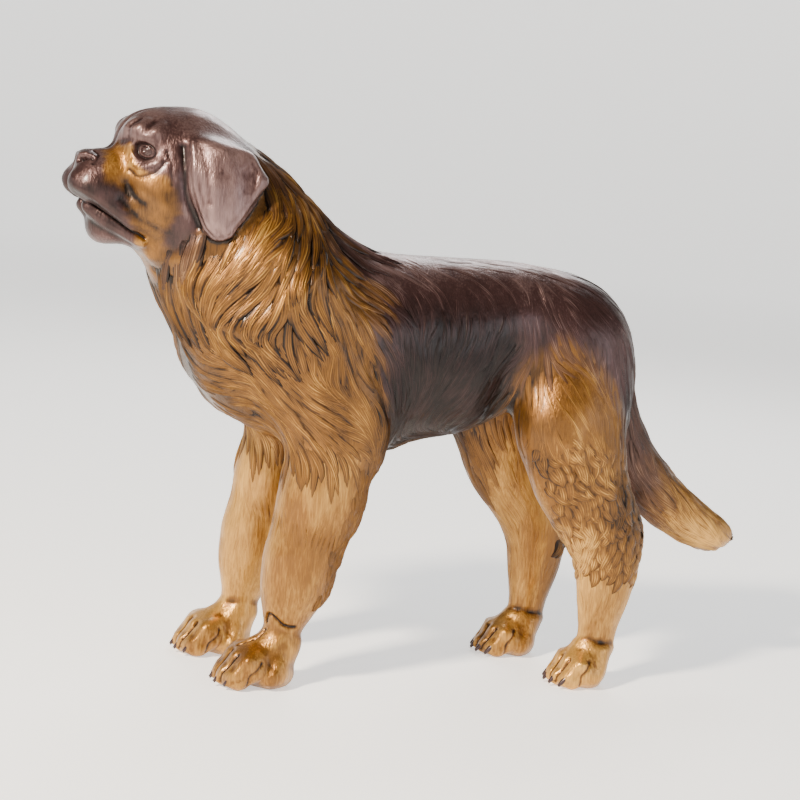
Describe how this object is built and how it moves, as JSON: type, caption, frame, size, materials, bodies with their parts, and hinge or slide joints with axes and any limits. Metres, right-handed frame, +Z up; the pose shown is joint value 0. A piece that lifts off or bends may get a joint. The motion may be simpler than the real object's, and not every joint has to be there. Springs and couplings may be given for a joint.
{
  "type": "saint bernard statue",
  "caption": "Life-size cast bronze statue of a long-haired mastiff-type dog standing with its head raised, its coat carved in wavy relief and its tail trailing behind.",
  "frame": {"origin": "middle of the statue's bounding box, on the floor under the paws", "axes": "+Z up, -X the way the dog faces, -Y its left side"},
  "size_m": [1.2516, 0.3442, 0.9189],
  "materials": {
    "brown_patina": "dark chocolate-brown patina on cast bronze, waxed and glossy",
    "gold_patina": "warm golden-ochre patina on cast bronze, brighter on the ridges, waxed and glossy"
  },
  "bodies": {
    "root": {"head": "brown_patina", "nose": "brown_patina", "eye_left": "brown_patina", "eye_right": "brown_patina", "ear_left": "brown_patina", "ear_right": "brown_patina", "torso": "brown_patina", "jaw": "gold_patina", "neck": "gold_patina", "tail": "gold_patina", "foreleg_left": "gold_patina", "foreleg_right": "gold_patina", "front_paw_left": "gold_patina", "front_paw_right": "gold_patina", "thigh_left": "gold_patina", "thigh_right": "gold_patina", "hind_pastern_left": "gold_patina", "hind_pastern_right": "gold_patina", "hind_paw_left": "gold_patina", "hind_paw_right": "gold_patina"}
  },
  "joints": []
}
